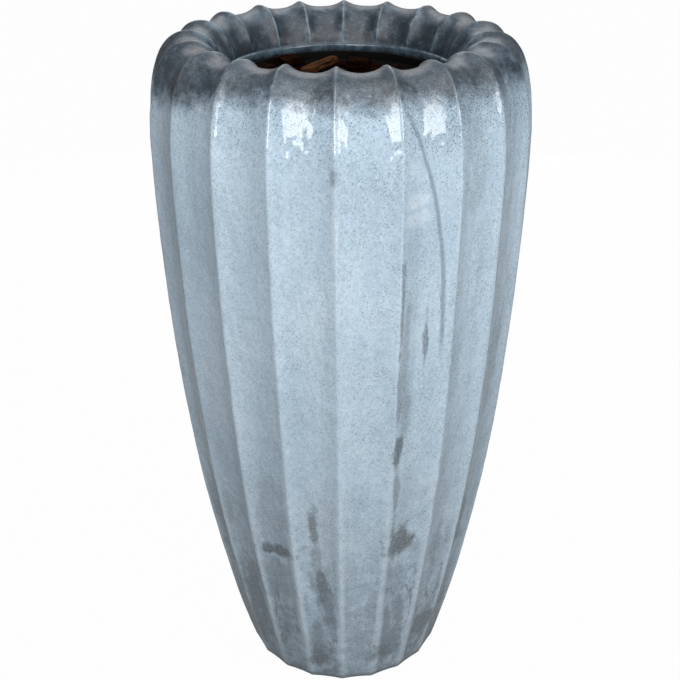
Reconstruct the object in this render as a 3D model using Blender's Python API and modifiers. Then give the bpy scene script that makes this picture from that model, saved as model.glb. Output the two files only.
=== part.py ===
"""Tall fluted flower pot: a glazed stoneware shell with a staged grow pot, soil and bark inside.

Metres, +Z up, origin at the centre of the foot. The front faces -Y.
"""

import math
import random

import bmesh
import bpy
from mathutils import Matrix, Vector
from mathutils.geometry import interpolate_bezier

# Shell
HEIGHT = 0.900
MAX_RADIUS = 0.2375
WIDEST_HEIGHT = 0.765
BASE_RADIUS = 0.141
CREST_RADIUS = 0.181
LIP_RADIUS = 0.138
LIP_TOP = 0.854
LIP_BOTTOM = 0.840
LIP_ROUND = 0.004
WALL = 0.012
BASE_FLARE = 0.30
FOOT_ROUND = 0.003
FLOOR_ROUND = 0.014
FOOT_INNER_RADIUS = 0.100
FOOT_RECESS = 0.008
FLOOR_TOP = 0.026
DRAIN_RADIUS = 0.016

# Lengths of the handles that bend the shell's outline
FLARE_HANDLE = 0.275
BELLY_HANDLE = 0.145
SHOULDER_HANDLE = 0.090
CREST_HANDLE = 0.046
ROLL_HANDLE = 0.024

# Flutes
FLUTES = 20
STEPS_PER_FLUTE = 4
FLUTE_DEPTH = 0.008
FLUTE_DEPTH_AT_FOOT = 0.003
FULL_FLUTE_HEIGHT = 0.30
FLUTE_END_RADIUS = 0.141

# Plastic pots
PLASTIC = 0.002
GROW_RIM_RADIUS = 0.128
GROW_BASE_RADIUS = 0.090
GROW_HEIGHT = 0.425
RISER_RIM_RADIUS = 0.112
RISER_BASE_RADIUS = 0.086
RISER_HEIGHT = 0.394
COLLAR_HEIGHT = 0.014
COLLAR_STEP = 0.004
POT_DRAINS = 6
POT_DRAIN_RADIUS = 0.007

# Drain plug
PLUG_HEAD_RADIUS = 0.024
PLUG_HEAD = 0.005
PLUG_TIP = 0.004
PLUG_TAPER = 0.0015

# Soil and bark
SOIL_DEPTH = 0.022
SOIL_CROWN = 0.002
CHIP_SIZE = Vector((0.044, 0.034, 0.012))
CHIP_RINGS = ((0.004, 1), (0.048, 5), (0.097, 11))  # radius and count
TOP_CHIPS = ((0.070, 13), (0.070, 63), (0.070, 113), (0.070, 163),
             (0.102, 221), (0.102, 252), (0.070, 323))  # radius and turn in degrees
STICK_SIZE = Vector((0.085, 0.018, 0.0105))
STICK_CENTRE = Vector((-0.028, 0.052, 0.8448))
STICK_TURN = 60
STICK_RISE = 0.8
BARK_SEED = 7

GAP = 0.0003
POT_STEPS = 48
PLUG_STEPS = 24
SMOOTH_ANGLE = math.radians(35)

GROW_FLOOR = FLOOR_TOP + RISER_HEIGHT + 2 * GAP
GROW_TOP = GROW_FLOOR + GROW_HEIGHT
SOIL_TOP = GROW_TOP - SOIL_DEPTH


def clear_scene():
    for item in list(bpy.data.objects):
        bpy.data.objects.remove(item, do_unlink=True)


def make_collection(name):
    collection = bpy.data.collections.new(name)
    bpy.context.scene.collection.children.link(collection)
    return collection


def make_material(name, colour, roughness):
    material = bpy.data.materials.new(name)
    material.use_nodes = True
    shader = material.node_tree.nodes["Principled BSDF"]
    shader.inputs["Base Color"].default_value = (*colour, 1.0)
    shader.inputs["Roughness"].default_value = roughness
    shader.inputs["Metallic"].default_value = 0.0
    return material


def make_object(name, mesh, collection, material):
    item = bpy.data.objects.new(name, mesh)
    collection.objects.link(item)
    mesh.materials.clear()
    mesh.materials.append(material)
    mesh.shade_smooth()
    mesh.set_sharp_from_angle(angle=SMOOTH_ANGLE)
    return item


def make_empty(name, location, collection):
    empty = bpy.data.objects.new(name, None)
    empty.location = location
    collection.objects.link(empty)
    return empty


def attach(item, parent):
    item.parent = parent
    item.matrix_parent_inverse = Matrix.Translation(parent.location).inverted()


def curve(start, start_handle, end_handle, end, pieces):
    knots = [Vector((r, 0, z)) for r, z in (start, start_handle, end_handle, end)]
    return [(point.x, point.z) for point in interpolate_bezier(*knots, pieces + 1)]


def turned_mesh(name, profile, steps, closed=False):
    """Mesh of an (r, z) profile turned about Z. The profile runs down its outer side."""
    outline = bpy.data.meshes.new(name + "_profile")
    edges = [(i, i + 1) for i in range(len(profile) - 1)]
    if closed:
        edges.append((len(profile) - 1, 0))
    outline.from_pydata([(r, 0, z) for r, z in profile], edges, [])
    blank = bpy.data.objects.new(name + "_blank", outline)
    bpy.context.scene.collection.objects.link(blank)
    screw = blank.modifiers.new("Turn", "SCREW")
    screw.steps = steps
    screw.render_steps = steps
    screw.use_merge_vertices = True
    screw.merge_threshold = 0.00001
    mesh = bpy.data.meshes.new_from_object(blank.evaluated_get(bpy.context.evaluated_depsgraph_get()))
    mesh.name = name
    bpy.data.objects.remove(blank, do_unlink=True)
    bpy.data.meshes.remove(outline)
    return mesh


def outer_profile():
    """The glazed side of the shell: from the flutes' end inside the rim, over the crest, to the foot."""
    inner_roll = curve((FLUTE_END_RADIUS, LIP_TOP), (FLUTE_END_RADIUS, LIP_TOP + ROLL_HANDLE),
                       (CREST_RADIUS - ROLL_HANDLE, HEIGHT), (CREST_RADIUS, HEIGHT), 5)
    shoulder = curve((CREST_RADIUS, HEIGHT), (CREST_RADIUS + CREST_HANDLE, HEIGHT),
                     (MAX_RADIUS, WIDEST_HEIGHT + SHOULDER_HANDLE), (MAX_RADIUS, WIDEST_HEIGHT), 8)
    wall = curve((MAX_RADIUS, WIDEST_HEIGHT), (MAX_RADIUS, WIDEST_HEIGHT - BELLY_HANDLE),
                 (BASE_RADIUS + BASE_FLARE * FLARE_HANDLE, FLARE_HANDLE), (BASE_RADIUS, 0.0), 10)
    wall[-1] = (BASE_RADIUS + BASE_FLARE * FOOT_ROUND, FOOT_ROUND)
    return inner_roll[:-1] + shoulder[:-1] + wall


def inner_profile():
    """The bare side of the shell: from the drain hole over the floor and up to the lip's underside."""
    inset = WALL + FLUTE_DEPTH
    belly = MAX_RADIUS - inset
    ceiling = HEIGHT - inset
    corner = BASE_RADIUS - WALL + BASE_FLARE * FLOOR_TOP
    flare = BASE_RADIUS + BASE_FLARE * FLARE_HANDLE - inset - FLUTE_DEPTH_AT_FOOT
    floor = [(DRAIN_RADIUS, FOOT_RECESS), (DRAIN_RADIUS, FLOOR_TOP), (corner - FLOOR_ROUND, FLOOR_TOP)]
    wall = curve((corner, FLOOR_TOP + FLOOR_ROUND), (flare, FLARE_HANDLE),
                 (belly, WIDEST_HEIGHT - BELLY_HANDLE), (belly, WIDEST_HEIGHT), 7)
    shoulder = curve((belly, WIDEST_HEIGHT), (belly, WIDEST_HEIGHT + SHOULDER_HANDLE),
                     (CREST_RADIUS + ROLL_HANDLE, ceiling), (CREST_RADIUS, ceiling), 5)
    under_roll = curve((CREST_RADIUS, ceiling), (CREST_RADIUS - WALL, ceiling),
                       (LIP_RADIUS + WALL, LIP_TOP), (LIP_RADIUS + WALL, LIP_BOTTOM + LIP_ROUND), 3)
    return floor + wall[:-1] + shoulder[:-1] + under_roll


def lip_profile():
    """The smooth round bead between the lip's underside and the flutes' end."""
    return [(LIP_RADIUS + WALL / 2, LIP_BOTTOM), (LIP_RADIUS + LIP_ROUND / 3, LIP_BOTTOM + LIP_ROUND),
            (LIP_RADIUS, (LIP_BOTTOM + LIP_TOP) / 2), (LIP_RADIUS + LIP_ROUND / 3, LIP_TOP - LIP_ROUND)]


def press_flutes(mesh, glazed):
    """Press concave flutes into the glazed rows. They fade out at the lip and are shallow at the foot."""
    normals = []
    for i in range(len(glazed)):
        before = glazed[max(i - 1, 0)]
        after = glazed[min(i + 1, len(glazed) - 1)]
        along = Vector((after[0] - before[0], after[1] - before[1])).normalized()
        normals.append(Vector((along.y, -along.x)))
    crest_row = max(range(len(glazed)), key=lambda i: glazed[i][1])
    for vertex in mesh.vertices:
        radius = math.hypot(vertex.co.x, vertex.co.y)
        row = min(range(len(glazed)), key=lambda i: math.dist(glazed[i], (radius, vertex.co.z)))
        if math.dist(glazed[row], (radius, vertex.co.z)) > GAP:
            continue
        angle = math.atan2(vertex.co.x, -vertex.co.y)
        across = (angle * FLUTES / math.tau) % 1.0
        grown = min(glazed[row][1] / FULL_FLUTE_HEIGHT, 1.0)
        depth = FLUTE_DEPTH_AT_FOOT + (FLUTE_DEPTH - FLUTE_DEPTH_AT_FOOT) * grown
        depth *= min(row / crest_row * 1.5, 1.0)
        pressed = depth * 4 * across * (1 - across)
        radius += normals[row].x * pressed
        vertex.co.x = radius * math.sin(angle)
        vertex.co.y = -radius * math.cos(angle)
        vertex.co.z += normals[row].y * pressed


def make_shell(collection):
    glazed = outer_profile()
    foot_face = [(BASE_RADIUS - FOOT_ROUND, 0.0), (FOOT_INNER_RADIUS, 0.0),
                 (FOOT_INNER_RADIUS - FOOT_ROUND, FOOT_RECESS)]
    section = glazed + foot_face + inner_profile() + lip_profile()
    mesh = turned_mesh("pot_shell", section, FLUTES * STEPS_PER_FLUTE, closed=True)
    press_flutes(mesh, glazed)
    glaze = make_material("glazed_stoneware", (0.55, 0.62, 0.68), 0.18)
    return make_object("pot_shell", mesh, collection, glaze)


def plastic_pot_mesh(name, rim_radius, base_radius, height):
    """A nursery pot standing on z = 0: tapered wall, stepped-out collar and closed bottom."""
    body_radius = rim_radius - COLLAR_STEP
    collar = height - COLLAR_HEIGHT
    inside = [(0.0, PLASTIC), (base_radius - PLASTIC, PLASTIC), (body_radius - PLASTIC, collar),
              (rim_radius - PLASTIC, collar + COLLAR_STEP), (rim_radius - PLASTIC, height)]
    outside = [(rim_radius, height), (rim_radius, collar), (body_radius, collar),
               (base_radius, PLASTIC), (base_radius - PLASTIC, 0.0), (0.0, 0.0)]
    return turned_mesh(name, inside + outside, POT_STEPS)


def cut_drains(item, ring_radius, height, cutters):
    """Round drain holes through a pot's bottom."""
    drills = bmesh.new()
    for i in range(POT_DRAINS):
        turn = Matrix.Rotation(math.tau * i / POT_DRAINS, 4, "Z")
        spot = turn @ Matrix.Translation((ring_radius, 0, height))
        bmesh.ops.create_cone(drills, cap_ends=True, segments=10, radius1=POT_DRAIN_RADIUS,
                              radius2=POT_DRAIN_RADIUS, depth=10 * PLASTIC, matrix=spot)
    mesh = bpy.data.meshes.new(item.name + "_drills")
    drills.to_mesh(mesh)
    drills.free()
    cutter = bpy.data.objects.new(item.name + "_drills", mesh)
    cutters.objects.link(cutter)
    cutter.hide_render = True
    cutter.display_type = "WIRE"
    cut = item.modifiers.new("Drain holes", "BOOLEAN")
    cut.operation = "DIFFERENCE"
    cut.solver = "EXACT"
    cut.object = cutter


def make_riser_pot(collection, cutters):
    mesh = plastic_pot_mesh("riser_pot", RISER_RIM_RADIUS, RISER_BASE_RADIUS, RISER_HEIGHT)
    upturned = Matrix.Translation((0, 0, FLOOR_TOP + GAP + RISER_HEIGHT)) @ Matrix.Rotation(math.pi, 4, "X")
    mesh.transform(upturned)
    plastic = make_material("grey_plastic", (0.05, 0.05, 0.055), 0.5)
    riser = make_object("riser_pot", mesh, collection, plastic)
    cut_drains(riser, RISER_BASE_RADIUS * 0.6, FLOOR_TOP + RISER_HEIGHT, cutters)
    return riser


def make_grow_pot(collection, cutters):
    mesh = plastic_pot_mesh("grow_pot", GROW_RIM_RADIUS, GROW_BASE_RADIUS, GROW_HEIGHT)
    mesh.transform(Matrix.Translation((0, 0, GROW_FLOOR)))
    plastic = make_material("black_plastic", (0.015, 0.015, 0.018), 0.4)
    grow_pot = make_object("grow_pot", mesh, collection, plastic)
    cut_drains(grow_pot, GROW_BASE_RADIUS * 0.6, GROW_FLOOR, cutters)
    return grow_pot


def make_soil(collection):
    slope = (GROW_RIM_RADIUS - COLLAR_STEP - GROW_BASE_RADIUS) / (GROW_HEIGHT - COLLAR_HEIGHT)
    inset = PLASTIC + 2 * GAP
    foot = GROW_FLOOR + PLASTIC + GAP
    foot_radius = GROW_BASE_RADIUS - inset
    top_radius = foot_radius + slope * (SOIL_TOP - foot)
    profile = [(0.0, SOIL_TOP + SOIL_CROWN), (top_radius * 0.6, SOIL_TOP + SOIL_CROWN * 0.7),
               (top_radius, SOIL_TOP), (foot_radius, foot), (0.0, foot)]
    mesh = turned_mesh("potting_soil", profile, POT_STEPS)
    return make_object("potting_soil", mesh, collection, make_material("soil", (0.035, 0.024, 0.018), 0.95))


def make_plug(collection):
    ceiling = FOOT_RECESS - GAP
    stem = DRAIN_RADIUS - GAP
    top = FLOOR_TOP + PLUG_TIP
    head_bottom = ceiling - PLUG_HEAD
    profile = [(0.0, top), (stem - PLUG_TAPER, top), (stem, FLOOR_TOP), (stem, ceiling),
               (PLUG_HEAD_RADIUS, ceiling), (PLUG_HEAD_RADIUS, head_bottom + PLUG_TAPER),
               (PLUG_HEAD_RADIUS - PLUG_TAPER, head_bottom), (0.0, head_bottom)]
    mesh = turned_mesh("drain_plug", profile, PLUG_STEPS)
    return make_object("drain_plug", mesh, collection, make_material("grey_rubber", (0.03, 0.03, 0.03), 0.7))


def bark_mesh(name, size, source):
    """A broken slab of bark: a box with uneven corners and chipped edges."""
    slab = bmesh.new()
    bmesh.ops.create_cube(slab, size=1.0)
    for vertex in slab.verts:
        uneven = Vector((source.uniform(0.80, 1.0), source.uniform(0.72, 1.0), source.uniform(0.86, 1.0)))
        vertex.co = vertex.co * size * uneven
    bmesh.ops.bevel(slab, geom=slab.edges[:], offset=size.z * 0.16, segments=1, affect="EDGES")
    mesh = bpy.data.meshes.new(name)
    slab.to_mesh(mesh)
    slab.free()
    return mesh


def make_bark(collection):
    """A bed of slabs in rings on the soil, a few more on top, and one stick leaning over them."""
    source = random.Random(BARK_SEED)
    shades = [make_material(f"bark_{i + 1}", colour, 0.9)
              for i, colour in enumerate(((0.16, 0.075, 0.04), (0.11, 0.05, 0.03), (0.2, 0.1, 0.05)))]
    places = []
    bed = SOIL_TOP + SOIL_CROWN + GAP + CHIP_SIZE.z / 2
    for ring, (radius, count) in enumerate(CHIP_RINGS):
        for i in range(count):
            places.append((radius, math.tau * (i + 0.37 * ring) / count, bed))
    for radius, turn in TOP_CHIPS:
        places.append((radius, math.radians(turn), bed + CHIP_SIZE.z + GAP))
    chips = []
    for number, (radius, angle, height) in enumerate(places, start=1):
        name = f"bark_chip_{number:02d}"
        shade = shades[number % len(shades)]
        chip = make_object(name, bark_mesh(name, CHIP_SIZE, source), collection, shade)
        chip.location = (radius * math.sin(angle), -radius * math.cos(angle), height)
        chip.rotation_euler.z = angle
        chips.append(chip)
    material = make_material("split_wood", (0.42, 0.19, 0.07), 0.85)
    stick = make_object("bark_stick", bark_mesh("bark_stick", STICK_SIZE, source), collection, material)
    stick.location = STICK_CENTRE
    stick.rotation_euler = (0, -math.radians(STICK_RISE), math.radians(STICK_TURN))
    return chips + [stick]


def main():
    clear_scene()
    parts = make_collection("tall_flower_pot")
    cutters = make_collection("cutters")
    make_shell(parts)
    make_riser_pot(parts, cutters)
    lift = make_empty("grow_pot_lift", (0, 0, GROW_FLOOR), parts)
    for item in [make_grow_pot(parts, cutters), make_soil(parts)] + make_bark(parts):
        attach(item, lift)
    pull = make_empty("drain_plug_pull", (0, 0, FOOT_RECESS), parts)
    attach(make_plug(parts), pull)


main()
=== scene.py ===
import math
import random
from functools import reduce
from operator import add, mul
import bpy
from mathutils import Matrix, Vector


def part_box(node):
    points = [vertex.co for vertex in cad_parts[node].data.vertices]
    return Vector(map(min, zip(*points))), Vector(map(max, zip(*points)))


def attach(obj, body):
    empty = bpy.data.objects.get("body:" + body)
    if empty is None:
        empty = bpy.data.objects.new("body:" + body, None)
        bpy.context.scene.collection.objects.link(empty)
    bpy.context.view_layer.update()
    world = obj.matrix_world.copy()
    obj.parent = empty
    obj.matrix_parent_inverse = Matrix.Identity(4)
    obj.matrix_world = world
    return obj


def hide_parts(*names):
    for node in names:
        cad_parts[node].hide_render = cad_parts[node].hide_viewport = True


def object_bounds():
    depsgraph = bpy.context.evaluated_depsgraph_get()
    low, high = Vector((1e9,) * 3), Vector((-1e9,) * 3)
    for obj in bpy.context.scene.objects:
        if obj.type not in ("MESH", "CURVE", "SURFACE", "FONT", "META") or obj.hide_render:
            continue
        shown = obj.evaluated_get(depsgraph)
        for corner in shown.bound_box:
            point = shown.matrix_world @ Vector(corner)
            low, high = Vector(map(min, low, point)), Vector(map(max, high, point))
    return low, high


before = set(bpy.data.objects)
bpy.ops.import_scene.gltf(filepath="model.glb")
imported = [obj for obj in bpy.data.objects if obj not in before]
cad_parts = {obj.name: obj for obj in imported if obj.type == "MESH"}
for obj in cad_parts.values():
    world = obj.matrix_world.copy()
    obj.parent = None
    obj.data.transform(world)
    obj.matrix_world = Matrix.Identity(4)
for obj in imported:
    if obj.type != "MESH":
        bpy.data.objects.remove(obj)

from types import SimpleNamespace

import bpy
from mathutils import Euler, Matrix, Vector, noise
from mathutils.geometry import interpolate_bezier

cadLow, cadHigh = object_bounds()
potHeight = cadHigh.z
print("frame loaded:", len(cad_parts), "nodes")


# modelling helpers

mergeGap = 0.00002  # vertices nearer than this become one
cadGap = 0.0001  # cad points nearer than this share a level or an edge
dotSize = 0.001  # plane that is merged into the first vertex of an outline


def fresh():
    if bpy.context.object and bpy.context.object.mode != "OBJECT":
        bpy.ops.object.mode_set(mode="OBJECT")
    bpy.ops.object.select_all(action="DESELECT")


def take(piece):  # select one piece alone and make it active
    fresh()
    piece.select_set(True)
    bpy.context.view_layer.objects.active = piece


def openMesh():  # edit mode with everything selected
    bpy.ops.object.mode_set(mode="EDIT")
    bpy.ops.mesh.select_all(action="SELECT")


def closeMesh():
    bpy.ops.object.mode_set(mode="OBJECT")


def fixPlace():  # the place goes into the mesh
    bpy.ops.object.transform_apply(location=True, rotation=True, scale=True)


def addObject(name, data):
    item = bpy.data.objects.new(name, data)
    bpy.context.scene.collection.objects.link(item)
    return item


def cadPoints(node):
    return [vertex.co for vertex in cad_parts[node].data.vertices]


def radiusOf(point):
    return math.hypot(point.x, point.y)


def bend(start, startHandle, endHandle, end, pieces):  # bezier stretch, (r, z) pairs
    knots = [Vector((r, 0, z)) for r, z in (start, startHandle, endHandle, end)]
    return [(p.x, p.z) for p in interpolate_bezier(*knots, pieces + 1)]


def turnOutline(name, outline, steps, closed=False):  # extrude a vertex along the outline, then spin it
    fresh()
    bpy.ops.mesh.primitive_plane_add(size=dotSize, location=(outline[0][0], 0, outline[0][1]))
    piece = bpy.context.object
    piece.name = piece.data.name = name
    fixPlace()
    openMesh()
    bpy.ops.mesh.merge(type="CENTER")
    for (r0, z0), (r1, z1) in zip(outline, outline[1:]):
        bpy.ops.mesh.extrude_region_move(TRANSFORM_OT_translate={"value": (r1 - r0, 0, z1 - z0)})
    closeMesh()
    row = piece.data.attributes.new("row", "FLOAT", "POINT")  # kept by the spin
    for number, item in enumerate(row.data):
        item.value = number
    for vertex in piece.data.vertices:
        vertex.select = vertex.index in (0, len(outline) - 1)
    bpy.ops.object.mode_set(mode="EDIT")
    if closed:
        bpy.ops.mesh.edge_face_add()
    bpy.ops.mesh.select_all(action="SELECT")
    bpy.ops.mesh.spin(steps=steps, angle=math.tau, center=(0, 0, 0), axis=(0, 0, 1))
    bpy.ops.mesh.select_all(action="SELECT")
    bpy.ops.mesh.remove_doubles(threshold=mergeGap)
    bpy.ops.mesh.normals_make_consistent(inside=False)
    closeMesh()
    bpy.ops.object.shade_smooth()
    return piece


def settle(piece, body, slotName, *nodes):  # what it rides on, its slot name, which is not used, and what it stands for
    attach(piece, body)
    if nodes:
        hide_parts(*nodes)
    return piece


def smoothStep(value, low, high):
    t = min(max((value - low) / (high - low), 0), 1)
    return t * t * (3 - 2 * t)


def fromZero(value):  # noise between -1 and 1 brought to between 0 and 1
    return 0.5 + 0.5 * value


# shader maths

class Wire:  # a socket that takes part in sums
    def __init__(self, tree, socket):
        self.tree = tree
        self.socket = socket

    def node(self, kind, settings=None, inputs=None, out=0):
        made = self.tree.nodes.new(kind)
        for key, value in (settings or {}).items():
            setattr(made, key, value)
        for key, value in (inputs or {}).items():
            if isinstance(value, Wire):
                self.tree.links.new(value.socket, made.inputs[key])
            else:
                made.inputs[key].default_value = value
        return Wire(self.tree, made.outputs[out])

    def math(self, operation, *values):
        return self.node("ShaderNodeMath", {"operation": operation}, dict(enumerate(values)))

    def __add__(self, other):
        return self.math("ADD", self, other)

    __radd__ = __add__

    def __sub__(self, other):
        return self.math("SUBTRACT", self, other)

    def __rsub__(self, other):
        return self.math("SUBTRACT", other, self)

    def __mul__(self, other):
        return self.math("MULTIPLY", self, other)

    __rmul__ = __mul__

    def __truediv__(self, other):
        return self.math("DIVIDE", self, other)

    def most(self, other):
        return self.math("MAXIMUM", self, other)

    def root(self):
        return self.math("SQRT", self)

    def size(self):
        return self.math("ABSOLUTE", self)

    def degrees(self):
        return self.math("DEGREES", self)

    def band(self, start, full, strength=1.0, least=0.0):  # least at start, strength more at full
        smooth = {"interpolation_type": "SMOOTHSTEP"}
        limits = {"From Min": start, "From Max": full, "To Min": least, "To Max": least + strength}
        return self.node("ShaderNodeMapRange", smooth, {"Value": self, **limits})

    def pick(self, colourA, colourB):  # self mixes from the first colour to the second
        return self.node("ShaderNodeMix", {"data_type": "RGBA"}, {0: self, 6: colourA, 7: colourB}, 2)

    def stretch(self, scale, turn=(0, 0, 0)):
        return self.node("ShaderNodeMapping", None, {"Vector": self, "Scale": scale, "Rotation": turn})

    def cloud(self, scale, detail=2.0, rough=0.5, upright=1.0):  # drawn out upwards where upright is low
        where = self if upright == 1.0 else self.stretch((1, 1, upright))
        values = {"Vector": where, "Scale": scale, "Detail": detail, "Roughness": rough}
        return self.node("ShaderNodeTexNoise", None, values)

    def cells(self, scale, out="Distance"):
        return self.node("ShaderNodeTexVoronoi", None, {"Vector": self, "Scale": scale}, out)

    def stored(self, name):  # attribute of the mesh
        return self.node("ShaderNodeAttribute", {"attribute_name": name}, None, "Fac")

    def feed(self, shader, name):
        self.tree.links.new(self.socket, shader.inputs[name])

    def dent(self, shader, strength, depth):  # self is the height of the bumps
        values = {"Strength": strength, "Distance": depth, "Height": self}
        self.node("ShaderNodeBump", None, values).feed(shader, "Normal")


def startFinish(name, specular=0.5):
    finish = bpy.data.materials.new(name)
    finish.use_nodes = True
    tree = finish.node_tree
    shader = tree.nodes["Principled BSDF"]
    shader.inputs["Specular IOR Level"].default_value = specular
    place = Wire(tree, tree.nodes.new("ShaderNodeTexCoord").outputs["Object"])
    return finish, shader, place


def wear(piece, finish):
    piece.data.materials.clear()
    piece.data.materials.append(finish)


# shell

shell = {
    "flutes": 20, "columns": 18, "gather": 0.6, "seed": 3,
    "baseRadius": 0.140, "baseFlare": 0.30, "flareHandle": 0.275,
    "maxRadius": 0.2367, "widest": 0.765, "bellyHandle": 0.145,
    "crestRadius": 0.181, "crestHandle": 0.039, "shoulderHandle": 0.090,
    "fluteEnd": 0.141, "fluteEndHeight": 0.854, "rollHandle": 0.024,
    "lipRadius": 0.138, "lipBottom": 0.840, "lipFlat": 0.005, "wall": 0.012,
    "grooveHandles": ((0.0004, -0.002), (0.0016, -0.0014)),  # out and up from the flute's end and the lip
    "beadRise": 0.004, "beadHandles": ((-0.0008, -0.001), (0.001, 0.0005)),
    "footRound": 0.003, "footBreak": 0.0008, "footInner": 0.100, "recess": 0.008,
    "floorTop": 0.026, "drain": 0.016, "drainEdge": 0.002,
    "clearOfFlutes": 0.008, "insideHandle": 0.080, "insideLean": 0.064,
    "cornerRound": 0.014, "cornerMid": 0.004,
    "pieces": {"wall": 90, "shoulder": 52, "roll": 24, "groove": 6, "bead": 10,
               "underRoll": 6, "inShoulder": 10, "inWall": 16},
    "depthFoot": 0.0026, "depthWall": 0.0092, "depthCrest": 0.0080, "depthSpread": (0.93, 1.07),
    "fullHeight": 0.20, "crestFrom": 0.80, "rollFade": 0.45, "fullness": 2.45,
    "ridgeRound": 0.0020, "ridgeRoundFoot": 0.0050, "ridgeSharpFrom": 0.55, "offRidge": 0.03,
    "wobble": 0.0008, "lumpShare": 0.4, "ripple": 0.0003, "unevenScales": (9, 28, 60), "stillFoot": 0.03,
    "wander": 0.005, "sway": 0.7, "swayScale": 5, "swayApart": 3.7, "leanRows": 10, "bareRows": (-3, 2),
    "leaning": {17: 1.0, 18: 0.7, 2: -0.6, 3: -0.8},  # degrees that single arrises stand off
}


def away(point, step):  # a handle, (r, z) away from its point
    return (point[0] + step[0], point[1] + step[1])


def glazedSide(pieces):  # stretches from the foot up the wall, over the rim and down to the lip
    s = shell
    base, flare = s["baseRadius"], s["baseFlare"]
    lowest = (base + flare * s["footRound"], s["footRound"])
    belly = (s["maxRadius"], s["widest"])
    crest = (s["crestRadius"], potHeight)
    fluteEnd = (s["fluteEnd"], s["fluteEndHeight"])
    lipTop = (s["lipRadius"], s["fluteEndHeight"])
    lipMid = (s["fluteEndHeight"] + s["lipBottom"]) / 2
    bead = (s["lipRadius"], lipMid + s["beadRise"])
    lipLow = (s["lipRadius"], s["lipBottom"])
    under = (s["lipRadius"] + s["wall"] - s["lipFlat"], s["lipBottom"])
    beadTop, beadLow = s["beadHandles"]
    grooveTop, grooveLow = s["grooveHandles"]
    return [
        [(base - s["footRound"], 0.0), (base - s["footBreak"], s["footBreak"])],
        bend(lowest, (base + flare * s["flareHandle"], s["flareHandle"]),
             away(belly, (0, -s["bellyHandle"])), belly, pieces["wall"]),
        bend(belly, away(belly, (0, s["shoulderHandle"])), away(crest, (s["crestHandle"], 0)), crest,
             pieces["shoulder"])[1:],
        bend(crest, away(crest, (-s["rollHandle"], 0)), away(fluteEnd, (0, s["rollHandle"])), fluteEnd,
             pieces["roll"])[1:],
        bend(fluteEnd, away(fluteEnd, grooveTop), away(lipTop, grooveLow), bead, pieces["groove"])[1:],
        bend(bead, (s["lipRadius"] + beadTop[0], lipMid + beadTop[1]), away(lipLow, beadLow), under,
             pieces["bead"])[1:],
    ]


def bareSide(pieces):  # stretches under the roll, down the inside, over the floor and round the foot
    s = shell
    lipMid = (s["fluteEndHeight"] + s["lipBottom"]) / 2
    lipOuter = s["lipRadius"] + s["wall"]
    inset = s["wall"] + s["clearOfFlutes"]
    ceiling = potHeight - inset
    crest = (s["crestRadius"], ceiling)
    belly = (s["maxRadius"] - inset, s["widest"])
    corner = s["baseRadius"] - s["wall"] + s["baseFlare"] * s["floorTop"]
    floor = s["floorTop"]
    return [
        bend((lipOuter, lipMid), (lipOuter, s["fluteEndHeight"]), away(crest, (-s["wall"], 0)), crest,
             pieces["underRoll"]),
        bend(crest, away(crest, (s["rollHandle"], 0)), away(belly, (0, s["insideHandle"])), belly,
             pieces["inShoulder"])[1:],
        bend(belly, away(belly, (0, -s["bellyHandle"])), (corner + s["insideLean"], s["flareHandle"]),
             (corner, floor + s["cornerRound"]), pieces["inWall"])[1:],
        [(corner - s["cornerMid"], floor + s["cornerMid"]), (corner - s["cornerRound"], floor),
         (s["drain"] + s["drainEdge"], floor), (s["drain"], floor - s["drainEdge"]),
         (s["drain"], s["recess"]), (s["footInner"] - s["footRound"], s["recess"]), (s["footInner"], 0.0)],
    ]


def shellOutline():  # closed section, with the rows at which its crest, flutes, groove and lip end
    outline, ends = [], []
    for stretch in glazedSide(shell["pieces"]) + bareSide(shell["pieces"]):
        outline += stretch
        ends.append(len(outline))
    return outline, {"crest": ends[2], "fluteEnd": ends[3], "groove": ends[4], "lip": ends[5]}


def fluteDepth(row, height, rows):  # how deep the flutes are pressed along the outline
    if row >= rows["fluteEnd"]:
        return 0.0
    grown = smoothStep(height, 0, shell["fullHeight"])
    depth = shell["depthFoot"] + (shell["depthWall"] - shell["depthFoot"]) * grown
    if row > rows["crest"]:
        left = (rows["fluteEnd"] - row) / (rows["fluteEnd"] - rows["crest"])
        return shell["depthCrest"] * smoothStep(left, 0, shell["rollFade"])
    nearCrest = smoothStep(height, shell["crestFrom"], potHeight)
    return depth + (shell["depthCrest"] - shell["depthWall"]) * nearCrest


def hollowAt(across, width, height):  # share of the flute's depth, and metres from the arris
    s = shell
    fromRidge = min(across, 1 - across) * width
    hollow = 1 - abs(2 * across - 1) ** s["fullness"]
    sharp = smoothStep(height, 0, s["ridgeSharpFrom"])
    reach = s["ridgeRoundFoot"] + (s["ridgeRound"] - s["ridgeRoundFoot"]) * sharp
    if fromRidge < reach:
        hollow = max(hollow, s["fullness"] * (fromRidge ** 2 / reach + reach) / width)
    return hollow, fromRidge


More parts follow.
